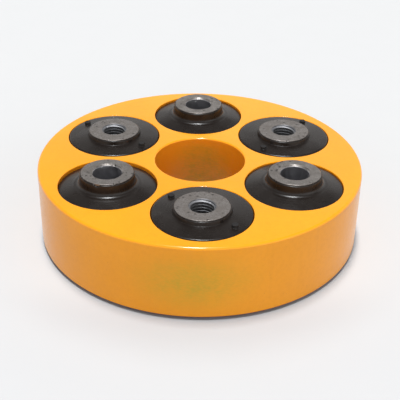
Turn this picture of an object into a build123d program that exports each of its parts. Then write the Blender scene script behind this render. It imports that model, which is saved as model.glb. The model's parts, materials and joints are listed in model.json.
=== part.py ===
"""Flexible rubber-bush disc coupling between an engine flywheel and a hydraulic pump.

A thick ring plate carries six rubber-bonded bushes on one pitch circle.  Three of them have a
plain clearance sleeve that bolts to the flywheel, and three, in between, have a tapped sleeve
that takes the bolts of the pump hub.  All torque passes through the rubber.

Frame: millimetres, +Z along the coupling's axis towards the pump, origin on the axis in the
plane of the plain sleeves' feet, which is the flywheel's face.
"""

import os
from math import cos, radians, sin

from build123d import *

# Ring plate
PLATE_RADIUS = 102.0
PLATE_THICKNESS = 47.0
CENTRE_BORE_RADIUS = 28.5
PLATE_TOP_ROUND = 1.6
PLATE_FOOT_ROUND = 0.6
CENTRE_BORE_ROUND = 1.0
BUSH_BORE_ROUND = 0.4

# Bush positions: plain and tapped bushes alternate, 60 degrees apart
PITCH_RADIUS = 65.0
BUSH_COUNT = 6
PLAIN_ANGLES = (90, 210, 330)
TAPPED_ANGLES = (270, 30, 150)
BUSH_BORE_RADIUS = 30.0

# Heights above the flywheel's face
STANDOFF = 2.0
PLATE_BOTTOM = STANDOFF
PLATE_TOP = PLATE_BOTTOM + PLATE_THICKNESS

# Plain sleeve: ground steel spacer for an M16 bolt
PLAIN_SLEEVE_RADIUS = 15.75
PLAIN_SLEEVE_LENGTH = 57.5
PLAIN_HOLE_RADIUS = 8.75
PLAIN_HOLE_CHAMFER = 1.0
SLEEVE_EDGE_CHAMFER = 0.25

# Tapped sleeve: M16 x 2, cut at the thread's minor diameter
TAPPED_SLEEVE_RADIUS = 16.3
TAPPED_SLEEVE_TOP = PLATE_TOP + 4.5
TAPPED_SLEEVE_BOTTOM = PLATE_BOTTOM + 5.0
THREAD_MAJOR_RADIUS = 8.0
THREAD_MINOR_RADIUS = 6.9175
THREAD_CHAMFER = THREAD_MAJOR_RADIUS + 0.2 - THREAD_MINOR_RADIUS

# Outer shells: thin steel tubes pressed into the plate, bonded to the rubber inside them
SHELL_WALL = 1.5
SHELL_INSET = 6.0
SHELL_BOTTOM = PLATE_BOTTOM + SHELL_INSET
SHELL_TOP = PLATE_TOP - SHELL_INSET
SHELL_INNER_RADIUS = BUSH_BORE_RADIUS - SHELL_WALL

# Rubber: a thin film of bonding cement is left between it and each metal face
BOND_FILM = 0.05
LIP_GROOVE = 0.45
LIP_RADIUS = BUSH_BORE_RADIUS - LIP_GROOVE
RUBBER_UNDERSIDE_INSET = 3.0
UNDERSIDE_TOP = PLATE_BOTTOM + RUBBER_UNDERSIDE_INSET + 1.0
UNDERSIDE_DIP_REACH = 5.5
PLAIN_LIP_INSET = 1.4

# A film of rubber covers each sleeve's side almost up to its face, then steps out to a skin
FILM_WALL = 0.15
FILM_INSET = 0.25
FILM_DEPTH = 0.4
SKIN_WALL = 0.75
SKIN_DRAFT = 0.5

# Plain rubber: the skin runs down to a low shoulder, which falls off to the sloping face
SHOULDER_HEIGHT = 2.8
SHOULDER_WIDTH = 0.5
SHOULDER_FOOT_REACH = 3.7
SHOULDER_FOOT_HEIGHT = 1.0

# Tapped rubber: slightly crowned face, a little proud of the plate, with two moulding nubs
TAPPED_CROWN = 1.4
TAPPED_LIP_HEIGHT = 0.2
NUB_RADIUS = 2.0
NUB_TOP = PLATE_TOP + 2.1
NUB_SUNK = 2.0
NUB_PITCH_RADIUS = 24.2
NUB_TURNS = (138, 52, 141)


def bush_centre(angle):
    """Foot point of a bush's axis on the flywheel's face."""
    return Vector(
        PITCH_RADIUS * cos(radians(angle)), PITCH_RADIUS * sin(radians(angle)), 0
    )


def bush_section(angle):
    """Upright half-plane through a bush's axis: X outward from that axis, Y up the axis."""
    return Plane(origin=bush_centre(angle), x_dir=(1, 0, 0), z_dir=(0, -1, 0))


def bush_axis(angle):
    return Axis(bush_centre(angle), (0, 0, 1))


os.makedirs("parts", exist_ok=True)

# ---------------------------------------------------------------- ring plate
with BuildPart() as ring_plate:
    with BuildSketch(Plane.XY.offset(PLATE_BOTTOM)):
        Circle(PLATE_RADIUS)
        Circle(CENTRE_BORE_RADIUS, mode=Mode.SUBTRACT)
        with PolarLocations(PITCH_RADIUS, BUSH_COUNT, start_angle=PLAIN_ANGLES[0]):
            Circle(BUSH_BORE_RADIUS, mode=Mode.SUBTRACT)
    extrude(amount=PLATE_THICKNESS)
    rims = ring_plate.edges().filter_by(GeomType.CIRCLE)
    top_rims = rims.group_by(Axis.Z)[-1].sort_by(SortBy.RADIUS)
    foot_rims = rims.group_by(Axis.Z)[0].sort_by(SortBy.RADIUS)
    fillet(top_rims[-1], PLATE_TOP_ROUND)
    fillet(foot_rims[-1], PLATE_FOOT_ROUND)
    fillet([top_rims[0], foot_rims[0]], CENTRE_BORE_ROUND)
    fillet(top_rims[1:-1] + foot_rims[1:-1], BUSH_BORE_ROUND)
ring_plate.part.label = "ring_plate"
export_step(ring_plate.part, "parts/ring_plate.step")

# ---------------------------------------------------------------- plain bushes
for number, angle in enumerate(PLAIN_ANGLES, start=1):
    # Spacer sleeve with a clearance hole
    with BuildPart() as plain_sleeve:
        with BuildSketch(Plane(origin=bush_centre(angle))):
            Circle(PLAIN_SLEEVE_RADIUS)
            Circle(PLAIN_HOLE_RADIUS, mode=Mode.SUBTRACT)
        extrude(amount=PLAIN_SLEEVE_LENGTH)
        end_edges = plain_sleeve.edges().filter_by(GeomType.CIRCLE).group_by(SortBy.RADIUS)
        chamfer(end_edges[0], PLAIN_HOLE_CHAMFER)
        chamfer(end_edges[-1], SLEEVE_EDGE_CHAMFER)
    plain_sleeve.part.label = f"plain_sleeve_{number}"
    export_step(plain_sleeve.part, f"parts/plain_sleeve_{number}.step")

    # Rubber with a raised collar that runs up the neck of the sleeve
    with BuildPart() as plain_rubber:
        with BuildSketch(bush_section(angle)):
            with BuildLine():
                bore = PLAIN_SLEEVE_RADIUS + BOND_FILM
                film_top = PLAIN_SLEEVE_LENGTH - FILM_INSET
                wall_foot = bore + SKIN_WALL + SKIN_DRAFT
                crown = FilletPolyline(
                    (bore, film_top),
                    (bore + FILM_WALL, film_top),
                    (bore + FILM_WALL, film_top - FILM_DEPTH),
                    (bore + SKIN_WALL, film_top - FILM_DEPTH),
                    (wall_foot, PLATE_TOP + SHOULDER_HEIGHT),
                    (wall_foot + SHOULDER_WIDTH, PLATE_TOP + SHOULDER_HEIGHT),
                    (bore + SHOULDER_FOOT_REACH, PLATE_TOP + SHOULDER_FOOT_HEIGHT),
                    (LIP_RADIUS, PLATE_TOP - PLAIN_LIP_INSET),
                    (LIP_RADIUS, SHELL_TOP + BOND_FILM),
                    radius=[0.1, 0.1, 0.4, 0.2, 0.3, 0.5, 0.6],
                )
                Polyline(
                    crown @ 1,
                    (SHELL_INNER_RADIUS - BOND_FILM, SHELL_TOP + BOND_FILM),
                    (SHELL_INNER_RADIUS - BOND_FILM, SHELL_BOTTOM - BOND_FILM),
                    (LIP_RADIUS, SHELL_BOTTOM - BOND_FILM),
                )
                foot = FilletPolyline(
                    (LIP_RADIUS, SHELL_BOTTOM - BOND_FILM),
                    (LIP_RADIUS, PLATE_BOTTOM + RUBBER_UNDERSIDE_INSET),
                    (bore + UNDERSIDE_DIP_REACH, UNDERSIDE_TOP),
                    (wall_foot, PLATE_BOTTOM + 1.5),
                    (bore, PLATE_BOTTOM + 1.0),
                    radius=[1.0, 3.0, 0.5],
                )
                Line(foot @ 1, crown @ 0)
            make_face()
        revolve(axis=bush_axis(angle))
    plain_rubber.part.label = f"plain_rubber_{number}"
    export_step(plain_rubber.part, f"parts/plain_rubber_{number}.step")

# ---------------------------------------------------------------- tapped bushes
for number, (angle, nub_turn) in enumerate(zip(TAPPED_ANGLES, NUB_TURNS), start=1):
    # Sleeve tapped right through, both mouths countersunk past the thread's major diameter
    with BuildPart() as tapped_sleeve:
        with BuildSketch(Plane(origin=bush_centre(angle)).offset(TAPPED_SLEEVE_BOTTOM)):
            Circle(TAPPED_SLEEVE_RADIUS)
            Circle(THREAD_MINOR_RADIUS, mode=Mode.SUBTRACT)
        extrude(amount=TAPPED_SLEEVE_TOP - TAPPED_SLEEVE_BOTTOM)
        end_edges = tapped_sleeve.edges().filter_by(GeomType.CIRCLE).group_by(SortBy.RADIUS)
        chamfer(end_edges[0], THREAD_CHAMFER)
        chamfer(end_edges[-1], SLEEVE_EDGE_CHAMFER)
    tapped_sleeve.part.label = f"tapped_sleeve_{number}"
    export_step(tapped_sleeve.part, f"parts/tapped_sleeve_{number}.step")

    # Crowned rubber with a thin skin up the side of the sleeve and two moulding nubs
    with BuildPart() as tapped_rubber:
        with BuildSketch(bush_section(angle)):
            with BuildLine():
                bore = TAPPED_SLEEVE_RADIUS + BOND_FILM
                film_top = TAPPED_SLEEVE_TOP - FILM_INSET
                wall_foot = bore + SKIN_WALL + SKIN_DRAFT
                crown = FilletPolyline(
                    (bore, film_top),
                    (bore + FILM_WALL, film_top),
                    (bore + FILM_WALL, film_top - FILM_DEPTH),
                    (bore + SKIN_WALL, film_top - FILM_DEPTH),
                    (wall_foot, PLATE_TOP + TAPPED_CROWN),
                    (LIP_RADIUS, PLATE_TOP + TAPPED_LIP_HEIGHT),
                    (LIP_RADIUS, SHELL_TOP + BOND_FILM),
                    radius=[0.1, 0.1, 0.4, 0.6, 1.0],
                )
                Polyline(
                    crown @ 1,
                    (SHELL_INNER_RADIUS - BOND_FILM, SHELL_TOP + BOND_FILM),
                    (SHELL_INNER_RADIUS - BOND_FILM, SHELL_BOTTOM - BOND_FILM),
                    (LIP_RADIUS, SHELL_BOTTOM - BOND_FILM),
                )
                foot = FilletPolyline(
                    (LIP_RADIUS, SHELL_BOTTOM - BOND_FILM),
                    (LIP_RADIUS, PLATE_BOTTOM + RUBBER_UNDERSIDE_INSET),
                    (bore + UNDERSIDE_DIP_REACH, UNDERSIDE_TOP),
                    (bore, TAPPED_SLEEVE_BOTTOM + 1.0),
                    radius=[1.0, 3.0],
                )
                Line(foot @ 1, crown @ 0)
            make_face()
        revolve(axis=bush_axis(angle))
        with BuildSketch(Plane(origin=bush_centre(angle)).offset(NUB_TOP)):
            with PolarLocations(NUB_PITCH_RADIUS, 2, start_angle=nub_turn):
                Circle(NUB_RADIUS)
        extrude(amount=-NUB_SUNK)
    tapped_rubber.part.label = f"tapped_rubber_{number}"
    export_step(tapped_rubber.part, f"parts/tapped_rubber_{number}.step")

# ---------------------------------------------------------------- outer shells
for kind, angles in (("plain", PLAIN_ANGLES), ("tapped", TAPPED_ANGLES)):
    for number, angle in enumerate(angles, start=1):
        with BuildPart() as shell:
            with BuildSketch(Plane(origin=bush_centre(angle)).offset(SHELL_BOTTOM)):
                Circle(BUSH_BORE_RADIUS)
                Circle(SHELL_INNER_RADIUS, mode=Mode.SUBTRACT)
            extrude(amount=SHELL_TOP - SHELL_BOTTOM)
        shell.part.label = f"{kind}_shell_{number}"
        export_step(shell.part, f"parts/{kind}_shell_{number}.step")
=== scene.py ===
"""Looks of a flexible rubber-bush disc coupling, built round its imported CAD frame.

Metres, in the row frame: +Z along the coupling's axis towards the pump, the flywheel's face at
z = 0, a plain bush at +Y and a tapped bush at -Y.  Positions and overall sizes come from the
CAD nodes' boxes and from the record's mounts.
"""

import json
from math import atan2, ceil, cos, hypot, pi, radians, sin, tan

import bmesh
import bpy
from mathutils import Matrix, Vector, noise
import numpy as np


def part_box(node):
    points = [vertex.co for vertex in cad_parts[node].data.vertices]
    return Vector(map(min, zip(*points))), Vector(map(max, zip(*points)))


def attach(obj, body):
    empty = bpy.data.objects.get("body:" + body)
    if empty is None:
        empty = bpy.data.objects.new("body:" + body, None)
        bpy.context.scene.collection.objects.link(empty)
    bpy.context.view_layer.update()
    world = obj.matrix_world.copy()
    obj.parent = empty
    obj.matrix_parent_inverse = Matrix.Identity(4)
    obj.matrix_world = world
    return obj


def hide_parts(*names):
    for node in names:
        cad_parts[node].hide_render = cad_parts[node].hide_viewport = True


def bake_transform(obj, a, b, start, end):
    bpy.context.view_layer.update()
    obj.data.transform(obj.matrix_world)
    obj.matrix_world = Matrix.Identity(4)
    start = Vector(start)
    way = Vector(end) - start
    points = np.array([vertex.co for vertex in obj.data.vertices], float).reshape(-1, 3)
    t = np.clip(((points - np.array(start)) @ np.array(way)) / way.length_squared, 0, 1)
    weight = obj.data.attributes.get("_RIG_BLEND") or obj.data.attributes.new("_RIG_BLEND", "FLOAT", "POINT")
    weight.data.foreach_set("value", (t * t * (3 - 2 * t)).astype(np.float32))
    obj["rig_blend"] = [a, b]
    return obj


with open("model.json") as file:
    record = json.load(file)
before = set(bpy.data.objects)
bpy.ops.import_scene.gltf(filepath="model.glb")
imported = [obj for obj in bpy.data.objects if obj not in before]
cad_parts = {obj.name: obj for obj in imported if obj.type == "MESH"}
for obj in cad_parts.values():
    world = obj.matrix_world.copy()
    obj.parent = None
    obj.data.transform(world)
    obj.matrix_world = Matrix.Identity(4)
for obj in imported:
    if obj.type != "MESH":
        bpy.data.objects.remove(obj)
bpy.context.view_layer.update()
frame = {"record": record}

MM = 0.001
scene = bpy.context.scene

# ------------------------------------------------------------------ sizes from the frame
PLATE_LOW, PLATE_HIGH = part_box("ring_plate")
PLATE_RADIUS = (PLATE_HIGH.x - PLATE_LOW.x) / 2
PLATE_BOTTOM, PLATE_TOP = PLATE_LOW.z, PLATE_HIGH.z
MOUNTS = {mount["name"]: mount["dims"] for mount in frame["record"]["mounts"]}
CENTRE_BORE_RADIUS = MOUNTS["hub_clearance_bore"]["r_mm"] * MM
PLAIN_HOLE_RADIUS = MOUNTS["flywheel_bolts"]["hole_r_mm"] * MM
THREAD_MINOR_RADIUS = MOUNTS["pump_hub_bolts"]["hole_r_mm"] * MM
THREAD_PITCH = 2.0 * MM
METRIC_THREAD_DEPTH = 0.5413  # of one pitch
THREAD_MAJOR_RADIUS = THREAD_MINOR_RADIUS + THREAD_PITCH * METRIC_THREAD_DEPTH

BUSH_KINDS, BUSH_NUMBERS = ("plain", "tapped"), (1, 2, 3)


def centre_of(node):
    """Middle of a CAD node's box, dropped to the flywheel's face."""
    low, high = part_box(node)
    return Vector(((low.x + high.x) / 2, (low.y + high.y) / 2, 0))


def radius_of(node):
    low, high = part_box(node)
    return (high.x - low.x) / 2


def heights_of(node):
    low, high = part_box(node)
    return low.z, high.z


BUSH_BORE_RADIUS = radius_of("plain_shell_1")
SHELL_BOTTOM, SHELL_TOP = heights_of("plain_shell_1")
SHELL_WALL, SHELL_END_ROUND = 1.5 * MM, 0.4 * MM
SHELL_INNER_RADIUS = BUSH_BORE_RADIUS - SHELL_WALL
LIP_RADIUS = radius_of("plain_rubber_1")
PLAIN_SLEEVE_RADIUS = radius_of("plain_sleeve_1")
TAPPED_SLEEVE_RADIUS = radius_of("tapped_sleeve_1")

# Corner sizes of the metal parts
PLATE_TOP_ROUND, PLATE_FOOT_ROUND = 1.6 * MM, 0.6 * MM
CENTRE_BORE_ROUND, BUSH_BORE_ROUND = 1.0 * MM, 0.4 * MM
PLAIN_HOLE_CHAMFER, THREAD_MOUTH = 1.0 * MM, 0.2 * MM
SLEEVE_EDGE, EDGE_BREAK = 0.25 * MM, 0.08 * MM

# Rubber: bond films at its shell and at its sleeve
SHELL_BOND, SLEEVE_BOND = 0.05 * MM, 0.02 * MM
# A film up the sleeve's side steps out to a thicker skin with a little draft
FILM_WALL, FILM_INSET, FILM_DEPTH, FILM_ROUND = 0.15 * MM, 0.25 * MM, 0.4 * MM, 0.1 * MM
SKIN_WALL, SKIN_DRAFT, SKIN_ROUND = 0.75 * MM, 0.5 * MM, 0.4 * MM
# The underside is dished, and stays clear of the sleeve's foot
UNDERSIDE_INSET, UNDERSIDE_ROUND, FOOT_GAP = 3.0 * MM, 1.0 * MM, 1.0 * MM
DISH_REACH, DISH_DEPTH, DISH_ROUND = 5.5 * MM, 1.0 * MM, 3.0 * MM
# Moulded faces swell and sink by this much, down to this depth under the plate's face
PLAIN_SWELL, TAPPED_SWELL, SWELL_DEPTH = 0.12 * MM, 0.1 * MM, 4 * MM
SWELLS_PER_METRE = 90

# Plain rubbers: height over the plate of each one's shoulder and of its slope
SHOULDER_HEIGHTS = {1: 1.35 * MM, 2: 0.75 * MM, 3: 1.75 * MM}
CROWN_LIFTS = {1: 0.65 * MM, 2: 0.0, 3: 1.1 * MM}
SHOULDER_ROUND = 2.6 * MM
FALL_REACH, FALL_DROP, FALL_ROUND = 3.1 * MM, 0.3 * MM, 0.5 * MM
SLOPE_REACH, SLOPE_DROP, SLOPE_ROUND = 5.0 * MM, 0.1 * MM, 0.8 * MM
LIP_DROP, LIP_ROUND = 2.0 * MM, 0.6 * MM
TORN_BUSH, TEAR_ANGLE, TEAR_HALF_WIDTH = 2, radians(-108), radians(8)
# The torn edge sags by a share of its height over the tear's foot, steeply at either side
TEAR_REACH, TEAR_ROUGHNESS, TEAR_SAG, TEAR_STEEPNESS = 3.5 * MM, 0.25 * MM, 0.3, 1.6

# Tapped rubbers: a slight crown, and two opposite moulding nubs each
TAPPED_CROWN, TAPPED_CROWN_ROUND = 1.4 * MM, 0.2 * MM
TAPPED_LIP, TAPPED_LIP_ROUND = 0.2 * MM, 1.0 * MM
NUB_RADIUS, NUB_PITCH_RADIUS = 2.0 * MM, 24.2 * MM
NUB_TOP, NUB_HEIGHT, NUB_EDGE = PLATE_TOP + 2.4 * MM, 2.3 * MM, 0.3 * MM
NUB_TURNS = {1: radians(138), 2: radians(52), 3: radians(141)}

# Faces that meet at more than this keep a sharp edge
SHARP_ANGLE = radians(38)


# ------------------------------------------------------------------ mesh helpers
def rounded(corners, steps=6):
    """Closed outline through corners (radius, height, rounding), each rounding made an arc."""
    outline = []
    for index, (r, z, rounding) in enumerate(corners):
        here = Vector((r, z))
        if rounding == 0:
            outline.append(here)
            continue
        back = (Vector(corners[index - 1][:2]) - here).normalized()
        ahead = (Vector(corners[(index + 1) % len(corners)][:2]) - here).normalized()
        half = back.angle(ahead) / 2
        middle = here + (back + ahead).normalized() * (rounding / sin(half))
        first = here + back * (rounding / tan(half)) - middle
        last = here + ahead * (rounding / tan(half)) - middle
        sweep = atan2(first.x * last.y - first.y * last.x, first.dot(last))
        for step in range(steps + 1):
            turn = sweep * step / steps
            x = first.x * cos(turn) - first.y * sin(turn)
            y = first.x * sin(turn) + first.y * cos(turn)
            outline.append(middle + Vector((x, y)))
    return outline


def quarter_turn(steps):
    """Angles from nothing to a right angle in equal steps."""
    return [pi / 2 * step / steps for step in range(steps + 1)]


def divided(outline, longest):
    """The same closed outline with its long straight runs cut into short ones."""
    points = []
    for here, ahead in zip(outline, outline[1:] + outline[:1]):
        cuts = max(1, ceil((ahead - here).length / longest))
        points += [here.lerp(ahead, cut / cuts) for cut in range(cuts)]
    return points


def ring_of(bm, radius, height, segments, centre=Vector((0, 0, 0))):
    turns = [2 * pi * k / segments for k in range(segments)]
    return [
        bm.verts.new((centre.x + radius * cos(t), centre.y + radius * sin(t), height))
        for t in turns
    ]


def bridge(bm, lower, upper):
    """Band of quads between two rings with the same number of vertices."""
    count = len(lower)
    for k in range(count):
        after = (k + 1) % count
        bm.faces.new((lower[k], lower[after], upper[after], upper[k]))


def finished(name, bm):
    """Object made from bm, smooth shaded, with its flats kept flat up to their roundings."""
    bmesh.ops.recalc_face_normals(bm, faces=bm.faces)
    mesh = bpy.data.meshes.new(name)
    bm.to_mesh(mesh)
    bm.free()
    mesh.shade_smooth()
    mesh.set_sharp_from_angle(angle=SHARP_ANGLE)
    piece = bpy.data.objects.new(name, mesh)
    scene.collection.objects.link(piece)
    weighting = piece.modifiers.new("flat_faces", "WEIGHTED_NORMAL")
    weighting.keep_sharp = True
    return piece


def lathe(name, outline, segments):
    """Closed ring turned from an outline round the upright axis."""
    bm = bmesh.new()
    rings = [ring_of(bm, point.x, point.y, segments) for point in outline]
    for lower, upper in zip(rings, rings[1:] + rings[:1]):
        bridge(bm, lower, upper)
    return finished(name, bm)


def set_down(piece, centre):
    """Moves a piece's mesh to its bush; every point keeps its place in the bush on record."""
    mesh = piece.data
    place = mesh.attributes.new("bush_place", "FLOAT_VECTOR", "POINT")
    for vertex, value in zip(mesh.vertices, place.data):
        value.vector = vertex.co
    mesh.transform(Matrix.Translation(centre))


# ------------------------------------------------------------------ material helpers
def add(tree, kind, inputs=None, **settings):
    """New node; an input given as a socket is linked, any other input is set."""
    made = tree.nodes.new(kind)
    for key, value in settings.items():
        setattr(made, key, value)
    for key, value in (inputs or {}).items():
        if isinstance(value, bpy.types.NodeSocket):
            tree.links.new(value, made.inputs[key])
        else:
            made.inputs[key].default_value = value
    return made


def material(name):
    """Empty node material: (material, tree, its Principled shader)."""
    made = bpy.data.materials.new(name)
    made.use_nodes = True
    tree = made.node_tree
    return made, tree, tree.nodes["Principled BSDF"]


def noise_of(tree, place, scale, detail=2.0, roughness=0.5):
    inputs = {"Vector": place, "Scale": scale, "Detail": detail, "Roughness": roughness}
    return add(tree, "ShaderNodeTexNoise", inputs).outputs["Fac"]


def rings_of(tree, place, scale, distortion, detail, detail_scale=1.0):
    """Waves in rings round the upright axis."""
    inputs = {
        "Vector": place,
        "Scale": scale,
        "Distortion": distortion,
        "Detail": detail,
        "Detail Scale": detail_scale,
    }
    node = add(tree, "ShaderNodeTexWave", inputs, wave_type="RINGS", rings_direction="Z")
    return node.outputs["Fac"]


def spread(tree, value, low, high, to_low=0.0, to_high=1.0):
    """value mapped smoothly from low..high to to_low..to_high."""
    inputs = {
        "Value": value,
        "From Min": low,
        "From Max": high,
        "To Min": to_low,
        "To Max": to_high,
    }
    mapped = add(tree, "ShaderNodeMapRange", inputs, interpolation_type="SMOOTHSTEP")
    return mapped.outputs["Result"]


def math(tree, operation, first, second=0.0):
    return add(
        tree, "ShaderNodeMath", {0: first, 1: second}, operation=operation
    ).outputs["Value"]


def mixed(tree, share, first, second):
    """Colour first turned into second by share."""
    node = add(tree, "ShaderNodeMix", data_type="RGBA")
    for index, value in ((0, share), (6, first), (7, second)):
        if isinstance(value, bpy.types.NodeSocket):
            tree.links.new(value, node.inputs[index])
        else:
            node.inputs[index].default_value = value
    return node.outputs[2]


def stretched(tree, vector, factors):
    inputs = {0: vector, 1: factors}
    return add(tree, "ShaderNodeVectorMath", inputs, operation="MULTIPLY").outputs["Vector"]


def length_of(tree, vector):
    return add(tree, "ShaderNodeVectorMath", {0: vector}, operation="LENGTH").outputs["Value"]


def from_axis(tree, place):
    return length_of(tree, stretched(tree, place, (1, 1, 0)))


def height_of(tree, place):
    return add(tree, "ShaderNodeSeparateXYZ", {0: place}).outputs["Z"]


def bush_place(tree):
    """A point's place in its own bush, as the piece was made."""
    return add(tree, "ShaderNodeAttribute", attribute_name="bush_place").outputs["Vector"]


def bumped(tree, height, distance, strength=1.0, below=None):
    inputs = {"Height": height, "Distance": distance, "Strength": strength}
    if below is not None:
        inputs["Normal"] = below
    return add(tree, "ShaderNodeBump", inputs).outputs["Normal"]


def colour(red, green, blue):
    return (red, green, blue, 1.0)


# ------------------------------------------------------------------ materials
def paint_colour(tree, place, inside):
    """Yellow with slight mottle, faint runs and specks, and painted bounce light, shade and reflections."""
    deep, light = colour(0.735, 0.278, 0.006), colour(0.80, 0.308, 0.009)
    base = mixed(tree, spread(tree, noise_of(tree, place, 14.0, 3.0), 0.3, 0.7), deep, light)
    mottle = spread(tree, noise_of(tree, place, 420.0, 3.0), 0.35, 0.75, 0.0, 0.2)
    base = mixed(tree, mottle, base, colour(0.64, 0.23, 0.006))
    runs = noise_of(tree, stretched(tree, place, (1, 1, 0.04)), 260.0, 2.0)
    base = mixed(tree, spread(tree, runs, 0.55, 0.75, 0.0, 0.08), base, colour(0.62, 0.24, 0.01))
    # Dust and tiny inclusions in the enamel
    specks = spread(tree, noise_of(tree, place, 1500.0, 1.0), 0.72, 0.8, 0.0, 0.5)
    base = mixed(tree, specks, base, colour(0.33, 0.12, 0.02))
    # Painted bounce light: bore walls redder, and the bush bores' walls brighter as well.
    base = mixed(tree, math(tree, "MULTIPLY", inside, 0.85), base, colour(0.80, 0.255, 0.010))
    past_centre_bore = spread(tree, from_axis(tree, place), 30 * MM, 33 * MM)
    in_bushes = math(tree, "MULTIPLY", inside, past_centre_bore)
    base = mixed(tree, in_bushes, base, colour(1.0, 0.31, 0.010))
    # Painted reflection: a greenish patch on the rim's front, facing the camera.
    base = mixed(tree, rim_painted_reflection(tree, place), base, colour(0.49, 0.285, 0.012))
    # Painted shade: dark red under the plate and along the rim's lower edge.
    base = mixed(tree, painted_foot_shade(tree, place), base, colour(0.20, 0.02, 0.014))
    # Painted reflection: an olive patch on the centre bore's far wall, facing the camera.
    return mixed(tree, bore_painted_reflection(tree, place), base, colour(0.41, 0.25, 0.010))


def paint_material():
    """Glossy machine enamel with fine orange peel over slow waves."""
    made, tree, shader = material("yellow_enamel")
    place = add(tree, "ShaderNodeTexCoord").outputs["Object"]
    inside = inside_bores(tree, place)
    tree.links.new(paint_colour(tree, place, inside), shader.inputs["Base Color"])
    grain = noise_of(tree, place, 700.0, 2.0)
    tree.links.new(spread(tree, grain, 0.2, 0.8, 0.28, 0.42), shader.inputs["Roughness"])
    shader.inputs["Specular IOR Level"].default_value = 0.05
    shader.inputs["Coat Weight"].default_value = 0.62
    shader.inputs["Coat Roughness"].default_value = 0.16
    shader.inputs["IOR"].default_value = 1.45
    waves = bumped(tree, noise_of(tree, place, 90.0, 2.0), 0.05 * MM)
    peel = bumped(tree, noise_of(tree, place, 520.0, 1.5), 0.012 * MM, 1.0, waves)
    # Boring marks show through the thin paint inside the bores
    marks = noise_of(tree, stretched(tree, place, (0.35, 0.35, 2.2)), 700.0, 3.0)
    bored = bumped(tree, math(tree, "MULTIPLY", marks, inside), 0.22 * MM, 1.0, peel)
    tree.links.new(bored, shader.inputs["Normal"])
    tree.links.new(bored, shader.inputs["Coat Normal"])
    return made


def inside_bores(tree, place):
    """1 on the bores' walls, 0 on the plate's faces and its rim."""
    away = from_axis(tree, place)
    off_rim = spread(tree, away, PLATE_RADIUS - 2 * MM, PLATE_RADIUS - 4 * MM)
    height = height_of(tree, place)
    under_top = spread(tree, height, PLATE_TOP - 0.1 * MM, PLATE_TOP - 0.9 * MM)
    over_foot = spread(tree, height, PLATE_BOTTOM + 0.1 * MM, PLATE_BOTTOM + 0.9 * MM)
    return math(tree, "MULTIPLY", off_rim, math(tree, "MULTIPLY", under_top, over_foot))


def painted_reflection_patch(tree, place, middle, half_sizes, strength):
    """Share of a painted reflection: a soft oval with patches and fine strokes."""
    offset = add(tree, "ShaderNodeVectorMath", {0: place, 1: middle}, operation="SUBTRACT")
    factors = [1 / half for half in half_sizes]
    reach = length_of(tree, stretched(tree, offset.outputs["Vector"], factors))
    patchy = spread(tree, noise_of(tree, place, 130.0, 4.0, 0.6), 0.3, 0.7, 0.62, 1.0)
    strokes = noise_of(tree, stretched(tree, place, (1, 1, 2.5)), 420.0, 3.0, 0.6)
    patchy = math(tree, "MULTIPLY", patchy, spread(tree, strokes, 0.38, 0.62, 0.68, 1.0))
    share = spread(tree, reach, 1.0, 0.0, 0.0, strength)
    return math(tree, "MULTIPLY", share, patchy)


def painted_foot_shade(tree, place):
    """Painted shade: dark red on the underside, reaching up the rim's lower edge over the floor."""
    return spread(tree, height_of(tree, place), PLATE_BOTTOM + 0.9 * MM, PLATE_BOTTOM + 0.35 * MM)


def rim_painted_reflection(tree, place):
    """Painted reflection of the dark camera side: a greenish patch low on the front of the rim."""
    middle = (-5.3 * MM, -PLATE_RADIUS, (PLATE_BOTTOM + PLATE_TOP) / 2)
    under_top = spread(tree, height_of(tree, place), PLATE_TOP - MM, PLATE_TOP - 3 * MM)
    oval = painted_reflection_patch(tree, place, middle, half_sizes=(48 * MM, 48 * MM, 25 * MM), strength=1.08)
    return math(tree, "MULTIPLY", oval, under_top)


def bore_painted_reflection(tree, place):
    """Painted reflection of the camera side: olive patch on the centre bore's far wall, off its mouth."""
    middle = (3 * MM, CENTRE_BORE_RADIUS, PLATE_TOP - 30 * MM)
    under_top = spread(tree, height_of(tree, place), PLATE_TOP - 1.5 * MM, PLATE_TOP - 7 * MM)
    oval = painted_reflection_patch(tree, place, middle, half_sizes=(34 * MM, 34 * MM, 44 * MM), strength=1.15)
    return math(tree, "MULTIPLY", oval, under_top)


def rubber_material():
    """Moulded black rubber: satin, faintly brown with dust, with flow rings and fine grain."""
    made, tree, shader = material("moulded_rubber")
    place = bush_place(tree)
    bloom = spread(tree, noise_of(tree, place, 60.0, 5.0, 0.6), 0.35, 0.75)
    base = mixed(tree, bloom, colour(0.0080, 0.0053, 0.0041), colour(0.0127, 0.0095, 0.0079))
    dust = spread(tree, noise_of(tree, place, 900.0, 2.0), 0.6, 0.78, 0.0, 0.35)
    base = mixed(tree, dust, base, colour(0.05, 0.043, 0.038))
    cut = add(tree, "ShaderNodeAttribute", attribute_name="nub_shade_and_matte").outputs["Fac"]
    # Painted shade: the nubs' faces darker than the rubber round them, and rougher.
    base = mixed(tree, math(tree, "MULTIPLY", cut, 0.9), base, colour(0.007, 0.006, 0.006))
    tree.links.new(base, shader.inputs["Base Color"])
    satin = spread(tree, noise_of(tree, place, 110.0, 4.0, 0.6), 0.3, 0.7, 0.25, 0.32)
    rough = math(tree, "MAXIMUM", satin, math(tree, "MULTIPLY", cut, 0.75))
    tree.links.new(rough, shader.inputs["Roughness"])
    shader.inputs["Specular IOR Level"].default_value = 0.34
    flow = bumped(tree, rings_of(tree, place, 160.0, 2.0, 2.0), 0.01 * MM)
    grain = bumped(tree, noise_of(tree, place, 1300.0, 3.0), 0.03 * MM, 1.0, flow)
    tree.links.new(grain, shader.inputs["Normal"])
    return made


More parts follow.
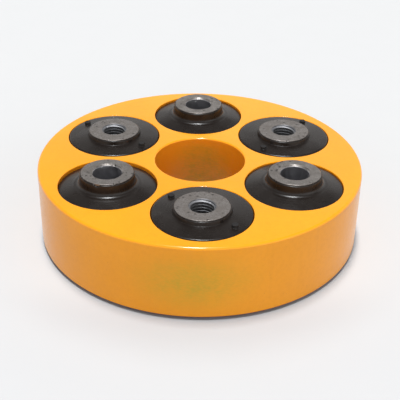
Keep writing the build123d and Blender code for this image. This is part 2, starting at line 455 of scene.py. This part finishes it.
def pitting(tree, place):
    """Share of small corrosion pits, clustered in patches."""
    cells = {"Vector": place, "Scale": 330.0, "Randomness": 1.0}
    spacing = add(tree, "ShaderNodeTexVoronoi", cells).outputs["Distance"]
    patches = spread(tree, noise_of(tree, place, 120.0, 2.0), 0.47, 0.55)
    return math(tree, "MULTIPLY", spread(tree, spacing, 0.34, 0.16), patches)


def steel_material(name, clean, stain, roughness, ring_scale, hole_radius, hole_light_and_shade, hole_roughness):
    """Turned steel: concentric tool marks, oil stains and pits, and painted light and shade in its hole."""
    made, tree, shader = material(name)
    place, turned = add(tree, "ShaderNodeTexCoord").outputs["Object"], bush_place(tree)
    rings = rings_of(tree, turned, ring_scale, 1.2, 3.0, 2.0)
    blot = noise_of(tree, place, 170.0, 5.0, 0.65)
    base = mixed(tree, spread(tree, blot, 0.36, 0.66), clean, stain)
    base = mixed(tree, math(tree, "MULTIPLY", rings, 0.18), base, colour(0.58, 0.56, 0.55))
    grit = spread(tree, noise_of(tree, place, 1200.0, 4.0, 0.85), 0.42, 0.58, 0.0, 0.9)
    base = mixed(tree, grit, base, stain)
    pit = pitting(tree, place)
    base = mixed(tree, math(tree, "MULTIPLY", pit, 0.85), base, colour(0.05, 0.045, 0.04))
    away = from_axis(tree, turned)
    inside = spread(tree, away, hole_radius + 0.3 * MM, hole_radius - 0.1 * MM)
    # Painted light and shade in the hole: lighter in the plain holes, darker in the threads and shells.
    base = mixed(tree, inside, base, hole_light_and_shade)
    tree.links.new(base, shader.inputs["Base Color"])
    shader.inputs["Metallic"].default_value = 1.0
    rough = spread(tree, blot, 0.3, 0.75, roughness, roughness + 0.16)
    rough = math(tree, "MAXIMUM", rough, math(tree, "MULTIPLY", inside, hole_roughness))
    tree.links.new(rough, shader.inputs["Roughness"])
    marks = bumped(tree, rings, 0.012 * MM)
    pitted = bumped(tree, math(tree, "MULTIPLY", pit, -1.0), 0.1 * MM, 1.0, marks)
    grain = bumped(tree, noise_of(tree, place, 1600.0, 3.0), 0.02 * MM, 1.0, pitted)
    tree.links.new(grain, shader.inputs["Normal"])
    return made


def floor_material():
    """Pale matt card with a barely visible tooth, painted shade towards the front and a painted shadow just
    before the object.
    """
    made, tree, shader = material("pale_card")
    behind, front = colour(0.522, 0.522, 0.522), colour(0.511, 0.511, 0.515)
    place = add(tree, "ShaderNodeTexCoord").outputs["Object"]
    depth = add(tree, "ShaderNodeSeparateXYZ", {0: place}).outputs["Y"]
    # Painted shade: a little darker in front than behind.
    base = mixed(tree, spread(tree, depth, -0.16, 0.12), front, behind)
    # Painted shadow close before the object's front.
    shadow_near_object = spread(tree, length_of(tree, place), 0.105, 0.15, 1.0, 0.0)
    before = math(tree, "MULTIPLY", shadow_near_object, spread(tree, depth, -0.06, -0.11))
    base = mixed(tree, before, base, colour(0.440, 0.440, 0.448))
    tooth = spread(tree, noise_of(tree, place, 30.0, 4.0), 0.2, 0.8, 0.0, 0.02)
    base = mixed(tree, tooth, base, colour(0.3, 0.3, 0.3))
    tree.links.new(base, shader.inputs["Base Color"])
    shader.inputs["Roughness"].default_value = 0.8
    shader.inputs["Specular IOR Level"].default_value = 0.1
    return made


PAINT = paint_material()
RUBBER = rubber_material()
PLAIN_STEEL = steel_material(
    "ground_steel",
    clean=colour(0.42, 0.39, 0.37),
    stain=colour(0.215, 0.193, 0.175),
    roughness=0.30,
    ring_scale=900.0,
    hole_radius=PLAIN_HOLE_RADIUS,
    hole_light_and_shade=colour(0.62, 0.62, 0.65),
    hole_roughness=0.0,
)
TAPPED_STEEL = steel_material(
    "turned_steel",
    clean=colour(0.38, 0.35, 0.332),
    stain=colour(0.195, 0.173, 0.157),
    roughness=0.38,
    ring_scale=620.0,
    hole_radius=THREAD_MAJOR_RADIUS,
    hole_light_and_shade=colour(0.215, 0.215, 0.225),
    hole_roughness=0.6,
)
SHELL_STEEL = steel_material(
    "drawn_steel",
    clean=colour(0.20, 0.20, 0.205),
    stain=colour(0.12, 0.11, 0.10),
    roughness=0.34,
    ring_scale=300.0,
    hole_radius=SHELL_INNER_RADIUS,
    hole_light_and_shade=colour(0.10, 0.10, 0.105),
    hole_roughness=0.0,
)


def dress(piece, look, body, slot, *nodes):
    """Gives a piece its material and its CAD body, and hides the CAD nodes it stands for; slot is not used.
    """
    piece.data.materials.clear()
    piece.data.materials.append(look)
    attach(piece, body)
    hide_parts(*nodes)


# ------------------------------------------------------------------ ring plate
def rim_rings(bm, centre, radius, side, top_round, foot_round, segments):
    """Rings down one upright wall, rounded at both ends; side is +1 outside, -1 in a bore."""
    arc = quarter_turn(6)
    inset_top, inset_foot = radius - side * top_round, radius - side * foot_round
    points = [
        (inset_top + side * top_round * sin(a), PLATE_TOP - top_round + top_round * cos(a))
        for a in arc
    ]
    points += [
        (inset_foot + side * foot_round * cos(a), PLATE_BOTTOM + foot_round - foot_round * sin(a))
        for a in arc
    ]
    rings = [ring_of(bm, r, z, segments, centre) for r, z in points]
    for upper, lower in zip(rings, rings[1:]):
        bridge(bm, upper, lower)
    return rings[0], rings[-1]


def ring_plate():
    """Thick plate with its centre bore and six bush bores, every mouth rounded by the paint."""
    bm = bmesh.new()
    middle, rim_segments, bore_segments = Vector((0, 0, 0)), 288, 144
    walls = [
        (middle, PLATE_RADIUS, 1, PLATE_TOP_ROUND, PLATE_FOOT_ROUND, rim_segments),
        (middle, CENTRE_BORE_RADIUS, -1, CENTRE_BORE_ROUND, CENTRE_BORE_ROUND, bore_segments),
    ]
    for kind in BUSH_KINDS:
        for number in BUSH_NUMBERS:
            bush = centre_of(f"{kind}_sleeve_{number}")
            wall = (bush, BUSH_BORE_RADIUS, -1, BUSH_BORE_ROUND, BUSH_BORE_ROUND, bore_segments)
            walls.append(wall)
    mouths = [rim_rings(bm, *wall) for wall in walls]
    for end in (0, 1):
        edges = []
        for mouth in mouths:
            ring = mouth[end]
            pairs = zip(ring, ring[1:] + ring[:1])
            edges += [bm.edges.get(pair) for pair in pairs]
        bmesh.ops.triangle_fill(bm, edges=edges, use_beauty=True)
    return finished("ring_plate_body", bm)


dress(ring_plate(), PAINT, "ring_plate", "painted_steel", "ring_plate")


# ------------------------------------------------------------------ sleeves
def outside_corners(outer, bottom, top):
    """Outside of a sleeve from its foot to its top, both edges chamfered and just broken."""
    return [
        (outer - SLEEVE_EDGE, bottom, EDGE_BREAK),
        (outer, bottom + SLEEVE_EDGE, EDGE_BREAK),
        (outer, top - SLEEVE_EDGE, EDGE_BREAK),
        (outer - SLEEVE_EDGE, top, EDGE_BREAK),
    ]


def plain_sleeve(number):
    """Steel spacer sleeve with a clearance hole, chamfered at both mouths."""
    node = f"plain_sleeve_{number}"
    bottom, top = heights_of(node)
    mouth = PLAIN_HOLE_RADIUS + PLAIN_HOLE_CHAMFER
    corners = [
        (PLAIN_HOLE_RADIUS, bottom + PLAIN_HOLE_CHAMFER, EDGE_BREAK),
        (mouth, bottom, EDGE_BREAK),
        *outside_corners(PLAIN_SLEEVE_RADIUS, bottom, top),
        (mouth, top, 2 * EDGE_BREAK),
        (PLAIN_HOLE_RADIUS, top - PLAIN_HOLE_CHAMFER, EDGE_BREAK),
    ]
    piece = lathe(f"spacer_sleeve_{number}", rounded(corners, steps=3), segments=128)
    set_down(piece, centre_of(node))
    dress(piece, PLAIN_STEEL, "flywheel_side", "sleeve_steel", node)


# Points of the thread's section, as fractions of one pitch: crest, flank, root, flank
THREAD_FRACTIONS = (0, 0.125, 0.25, 0.354, 0.458, 0.5625, 0.625, 0.6875, 0.792, 0.896)


def thread_radius(fraction):
    """Wall radius of the internal thread at a fraction of one pitch, crest first."""
    crest, flank, root = 0.25, 0.3125, 0.125
    depth = THREAD_MAJOR_RADIUS - THREAD_MINOR_RADIUS
    if fraction < crest:
        return THREAD_MINOR_RADIUS
    if fraction < crest + flank:
        return THREAD_MINOR_RADIUS + depth * (fraction - crest) / flank
    if fraction < crest + flank + root:
        return THREAD_MAJOR_RADIUS
    return THREAD_MAJOR_RADIUS - depth * (fraction - crest - flank - root) / flank


def thread_column(bm, share, bottom, top, mouth_radius):
    """The thread's points up the hole at a share of one turn, cut off by the mouths' cones."""
    turn, column = 2 * pi * share, []
    for lap in range(ceil((top - bottom) / THREAD_PITCH) + 2):
        for fraction in THREAD_FRACTIONS:
            climb = (lap - 1 + fraction + share) * THREAD_PITCH
            z = min(max(bottom + climb, bottom), top)
            cone = mouth_radius - min(z - bottom, top - z)
            r = max(thread_radius(fraction), cone)
            column.append(bm.verts.new((r * cos(turn), r * sin(turn), z)))
    return column


def cut_thread(bm, bottom, top, mouth_radius, segments):
    """Wall of a right-hand thread; past the last column it meets the first, one lap up."""
    shares = [k / segments for k in range(segments)]
    columns = [thread_column(bm, share, bottom, top, mouth_radius) for share in shares]
    last = len(columns[0]) - 1
    for k, here in enumerate(columns):
        after = columns[(k + 1) % segments]
        shift = len(THREAD_FRACTIONS) if k == segments - 1 else 0
        for row in range(last):
            low, high = min(row + shift, last), min(row + 1 + shift, last)
            if low != high:
                bm.faces.new((here[row], here[row + 1], after[high], after[low]))


def tapped_sleeve(number):
    """Steel sleeve with a right-hand thread cut as a true helix, from mouth to mouth."""
    node = f"tapped_sleeve_{number}"
    bottom, top = heights_of(node)
    mouth_radius, segments = THREAD_MAJOR_RADIUS + THREAD_MOUTH, 96
    corners = [
        (mouth_radius, bottom, 0),
        *outside_corners(TAPPED_SLEEVE_RADIUS, bottom, top),
        (mouth_radius, top, 0),
    ]
    bm = bmesh.new()
    rings = [ring_of(bm, point.x, point.y, segments) for point in rounded(corners, steps=3)]
    for lower, upper in zip(rings, rings[1:]):
        bridge(bm, lower, upper)
    cut_thread(bm, bottom, top, mouth_radius, segments)
    bmesh.ops.remove_doubles(bm, verts=bm.verts, dist=0.0005 * MM)
    piece = finished(f"threaded_sleeve_{number}", bm)
    set_down(piece, centre_of(node))
    dress(piece, TAPPED_STEEL, "pump_side", "sleeve_steel", node)


for bush_number in BUSH_NUMBERS:
    plain_sleeve(bush_number)
    tapped_sleeve(bush_number)


# ------------------------------------------------------------------ outer shells
def outer_shell(kind, number):
    """Thin drawn tube pressed into the plate, its ends just rounded."""
    node = f"{kind}_shell_{number}"
    corners = [
        (SHELL_INNER_RADIUS, SHELL_BOTTOM, SHELL_END_ROUND),
        (BUSH_BORE_RADIUS, SHELL_BOTTOM, SHELL_END_ROUND),
        (BUSH_BORE_RADIUS, SHELL_TOP, SHELL_END_ROUND),
        (SHELL_INNER_RADIUS, SHELL_TOP, SHELL_END_ROUND),
    ]
    piece = lathe(f"{kind}_bush_shell_{number}", rounded(corners, steps=3), segments=96)
    set_down(piece, centre_of(node))
    dress(piece, SHELL_STEEL, "ring_plate", "shell_steel", node)


for bush_kind in BUSH_KINDS:
    for bush_number in BUSH_NUMBERS:
        outer_shell(bush_kind, bush_number)


# ------------------------------------------------------------------ rubber
def shear(piece, centre, inner, outer, side):
    """Lets rubber shear: bonded to the sleeve's body at inner, to the ring plate at outer."""
    mesh = piece.data
    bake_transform(piece, "ring_plate", side, start=(outer, 0, 0), end=(inner, 0, 0))
    share = mesh.attributes["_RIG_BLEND"]
    for vertex, value in zip(mesh.vertices, share.data):
        away = hypot(vertex.co.x - centre.x, vertex.co.y - centre.y)
        value.value = min(max((outer - away) / (outer - inner), 0.0), 1.0)


def rubber_piece(name, outline, centre, side, bonded_at, node, adjust, nub_turn=None):
    """Rubber body turned from its outline, its skin made uneven by adjust, then bonded."""
    piece = lathe(name, divided(outline, longest=1.2 * MM), segments=192)
    for vertex in piece.data.vertices:
        vertex.co += adjust(vertex.co)
    if nub_turn is not None:
        add_nubs(piece, nub_turn)
    set_down(piece, centre)
    piece.data.materials.clear()
    piece.data.materials.append(RUBBER)
    shear(piece, centre, bonded_at, SHELL_INNER_RADIUS, side)
    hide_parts(node)


def shank_outline(outer, bottom):
    """Rubber held inside the shell, and its dished underside from the lip to the sleeve."""
    foot = PLATE_BOTTOM + UNDERSIDE_INSET
    return [
        (LIP_RADIUS, SHELL_TOP + SHELL_BOND, 0),
        (SHELL_INNER_RADIUS - SHELL_BOND, SHELL_TOP + SHELL_BOND, 0),
        (SHELL_INNER_RADIUS - SHELL_BOND, SHELL_BOTTOM - SHELL_BOND, 0),
        (LIP_RADIUS, SHELL_BOTTOM - SHELL_BOND, 0),
        (LIP_RADIUS, foot, UNDERSIDE_ROUND),
        (outer + DISH_REACH, foot + DISH_DEPTH, DISH_ROUND),
        (outer, bottom, 0),
    ]


def skin_outline(bore, sleeve_top):
    """Film up to just under the sleeve's face, and its step out to the skin."""
    film_top = sleeve_top - FILM_INSET
    return [
        (bore, film_top, 0),
        (bore + FILM_WALL, film_top, FILM_ROUND),
        (bore + FILM_WALL, film_top - FILM_DEPTH, FILM_ROUND),
        (bore + SKIN_WALL, film_top - FILM_DEPTH, SKIN_ROUND),
    ]


def plain_rubber_outline(bore, sleeve_top, shoulder, lift):
    """Skin flaring out to a low shoulder, a short fall, a gentle slope to a lip in the bore."""
    wall_foot = bore + SKIN_WALL + SKIN_DRAFT
    shoulder_level, slope_level = PLATE_TOP + shoulder, PLATE_TOP + lift
    crown = [
        (wall_foot, shoulder_level, SHOULDER_ROUND),
        (wall_foot + FALL_REACH, shoulder_level - FALL_DROP, FALL_ROUND),
        (wall_foot + SLOPE_REACH, slope_level - SLOPE_DROP, SLOPE_ROUND),
        (LIP_RADIUS, slope_level - LIP_DROP, LIP_ROUND),
    ]
    shank = shank_outline(bore, PLATE_BOTTOM + FOOT_GAP)
    return rounded(skin_outline(bore, sleeve_top) + crown + shank)


def tapped_rubber_outline(bore, sleeve_bottom, sleeve_top):
    """Skin down to a slightly crowned face that ends a little proud of the plate."""
    crown = [
        (bore + SKIN_WALL + SKIN_DRAFT, PLATE_TOP + TAPPED_CROWN, TAPPED_CROWN_ROUND),
        (LIP_RADIUS, PLATE_TOP + TAPPED_LIP, TAPPED_LIP_ROUND),
    ]
    shank = shank_outline(bore, sleeve_bottom + FOOT_GAP)
    return rounded(skin_outline(bore, sleeve_top) + crown + shank)


def nub(place):
    """Short round stud left by the mould, its top edge rounded."""
    bm = bmesh.new()
    inner, lower_edge = NUB_RADIUS - NUB_EDGE, NUB_TOP - NUB_EDGE
    section = [(NUB_RADIUS, NUB_TOP - NUB_HEIGHT)]
    for a in quarter_turn(4):
        section.append((inner + NUB_EDGE * cos(a), lower_edge + NUB_EDGE * sin(a)))
    rings = [ring_of(bm, r, z, segments=32, centre=place) for r, z in section]
    for lower, upper in zip(rings, rings[1:]):
        bridge(bm, lower, upper)
    bm.faces.new(rings[0])
    bm.faces.new(rings[-1])
    return finished("moulding_nub", bm)


def add_nubs(piece, turn):
    """Joins two opposite nubs to the rubber's face as one closed skin."""
    for angle in (turn, turn + pi):
        stud = nub(Vector((cos(angle), sin(angle), 0)) * NUB_PITCH_RADIUS)
        joining = piece.modifiers.new("nub", "BOOLEAN")
        joining.operation, joining.object = "UNION", stud
        shaped = piece.evaluated_get(bpy.context.evaluated_depsgraph_get())
        piece.data = bpy.data.meshes.new_from_object(shaped)
        piece.modifiers.remove(joining)
        bpy.data.objects.remove(stud)
    mesh = piece.data
    mesh.shade_smooth()
    mesh.set_sharp_from_angle(angle=SHARP_ANGLE)
    mark_nubs(mesh, turn)


def mark_nubs(mesh, turn):
    """Sets nub_shade_and_matte to 1 on the faces of the two nubs that stand clear of the crown; those faces
    get painted shade.
    """
    clear = PLATE_TOP + 0.9 * MM
    spots = [Vector((cos(a), sin(a))) * NUB_PITCH_RADIUS for a in (turn, turn + pi)]
    cut = mesh.attributes.new("nub_shade_and_matte", "FLOAT", "FACE")
    for face, value in zip(mesh.polygons, cut.data):
        away = min((face.center.xy - spot).length for spot in spots)
        value.value = float(away < NUB_RADIUS and face.center.z > clear)


def uneven(seed, amount):
    """Height changes of moulded rubber, seeded by the bush."""

    def adjust(co):
        if co.z < PLATE_TOP - SWELL_DEPTH:
            return Vector((0, 0, 0))
        spot = Vector((co.x, co.y, 0)) * SWELLS_PER_METRE
        swell = noise.noise(spot + Vector((seed * 7.3, 0, 0)))
        return Vector((0, 0, swell * amount))

    return adjust


def torn_skin(seed, sleeve_top):
    """Unevenness, and one stretch of the collar's upper edge torn down from the sleeve."""
    swell = uneven(seed, PLAIN_SWELL)

    def adjust(co):
        move = swell(co)
        over_tear = co.z - sleeve_top + TEAR_REACH
        if over_tear > 0:
            angle = atan2(co.y, co.x)
            tear = max(0.0, 1 - abs(angle - TEAR_ANGLE) / TEAR_HALF_WIDTH)
            ragged = noise.noise(Vector((angle * 9, seed * 3.1, 0)))
            move.z -= over_tear * min(1.0, tear * TEAR_STEEPNESS) * TEAR_SAG
            move.z += min(ragged, 0.0) * TEAR_ROUGHNESS
        return move

    return adjust


def plain_rubber(number):
    sleeve, node = f"plain_sleeve_{number}", f"plain_rubber_{number}"
    top, bore = heights_of(sleeve)[1], PLAIN_SLEEVE_RADIUS + SLEEVE_BOND
    adjust = torn_skin(number, top) if number == TORN_BUSH else uneven(number, PLAIN_SWELL)
    outline = plain_rubber_outline(bore, top, SHOULDER_HEIGHTS[number], CROWN_LIFTS[number])
    name, bonded_at = f"plain_bush_rubber_{number}", bore + SKIN_WALL + SKIN_DRAFT
    rubber_piece(name, outline, centre_of(sleeve), "flywheel_side", bonded_at, node, adjust)


def tapped_rubber(number):
    sleeve, node = f"tapped_sleeve_{number}", f"tapped_rubber_{number}"
    bottom, top = heights_of(sleeve)
    bore = TAPPED_SLEEVE_RADIUS + SLEEVE_BOND
    outline = tapped_rubber_outline(bore, bottom, top)
    name, bonded_at = f"tapped_bush_rubber_{number}", bore + SKIN_WALL + SKIN_DRAFT
    adjust, turn = uneven(number + 10, TAPPED_SWELL), NUB_TURNS[number]
    rubber_piece(name, outline, centre_of(sleeve), "pump_side", bonded_at, node, adjust, turn)


for bush_number in BUSH_NUMBERS:
    plain_rubber(bush_number)
    tapped_rubber(bush_number)


# ------------------------------------------------------------------ stage
def make_floor():
    bm = bmesh.new()
    bmesh.ops.create_grid(bm, x_segments=8, y_segments=8, size=10.0)
    floor = finished("floor", bm)
    floor.data.materials.append(floor_material())


def room_level(tree):
    """Brightness of the room by direction: backdrop low behind, walls on the camera's side."""
    way = add(tree, "ShaderNodeTexCoord").outputs["Generated"]
    parts = add(tree, "ShaderNodeSeparateXYZ", {0: way}).outputs
    # The backdrop reaches a little higher on the right
    rise = spread(tree, parts["X"], -0.03, 0.07, 0.0, 0.055)
    backdrop = spread(tree, math(tree, "SUBTRACT", parts["Z"], rise), 0.50, 0.43, 0.0, 0.56)
    backdrop = math(tree, "MULTIPLY", backdrop, spread(tree, parts["Y"], -0.1, 0.3))
    walls = spread(tree, parts["Y"], 0.25, -0.55, 0.12, 0.98)
    walls = math(tree, "MULTIPLY", walls, spread(tree, parts["Z"], 0.85, 0.40))
    walls = math(tree, "MULTIPLY", walls, spread(tree, parts["X"], -0.8, 0.9, 0.92, 1.50))
    return math(tree, "ADD", math(tree, "ADD", backdrop, walls), 0.16)


def make_world():
    """Room light, and an even pale backdrop where the camera looks past the floor."""
    world = bpy.data.worlds.new("room_light")
    scene.world = world
    world.use_nodes = True
    tree = world.node_tree
    tree.nodes.clear()
    lit = {"Color": colour(1.0, 0.99, 0.98), "Strength": room_level(tree)}
    seen = {"Color": colour(0.91, 0.91, 0.91), "Strength": 1.0}
    shades = [add(tree, "ShaderNodeBackground", inputs) for inputs in (lit, seen)]
    light, backdrop = (shade.outputs["Background"] for shade in shades)
    ray = add(tree, "ShaderNodeLightPath").outputs["Is Camera Ray"]
    mix = add(tree, "ShaderNodeMixShader", {0: ray, 1: light, 2: backdrop})
    add(tree, "ShaderNodeOutputWorld", {"Surface": mix.outputs["Shader"]})


def make_strip_lamp():
    """Long narrow softbox high over the plate, running from the camera's side to past it."""
    elevation, distance, to_left = radians(88.5), 10.0, 0.23
    data = bpy.data.lights.new("strip_lamp", "AREA")
    data.shape = "RECTANGLE"
    data.size = 0.94
    data.size_y = 4.1
    data.energy = 1380
    data.color = (0.965, 0.983, 1.0)
    lamp = bpy.data.objects.new("strip_lamp", data)
    lamp.location = (-to_left, -distance * cos(elevation), PLATE_TOP + distance * sin(elevation))
    lamp.rotation_euler = (pi / 2 - elevation, 0, 0)
    scene.collection.objects.link(lamp)


make_floor()
make_world()
make_strip_lamp()


# ------------------------------------------------------------------ camera
def make_camera():
    """Long-lens view from above the front, turned a little off the bushes' own axes."""
    elevation, roll, turn = radians(30.85), radians(1.07), radians(-1.72)
    distance = 5.172 * PLATE_RADIUS
    aim = Vector((0.005 * PLATE_RADIUS, -0.501 * PLATE_RADIUS, PLATE_TOP))
    back = Vector((0, -cos(elevation), sin(elevation)))
    data = bpy.data.cameras.new("camera")
    data.lens = 80.97
    data.sensor_width = 36.0
    data.clip_start, data.clip_end = 0.01, 50.0
    camera = bpy.data.objects.new("camera", data)
    facing = back.to_track_quat("Z", "Y").to_matrix().to_4x4()
    placed = Matrix.Translation(aim + back * distance) @ facing @ Matrix.Rotation(roll, 4, "Z")
    camera.matrix_world = Matrix.Rotation(turn, 4, "Z") @ placed
    scene.collection.objects.link(camera)
    scene.camera = camera


make_camera()
scene.view_settings.view_transform = "Standard"
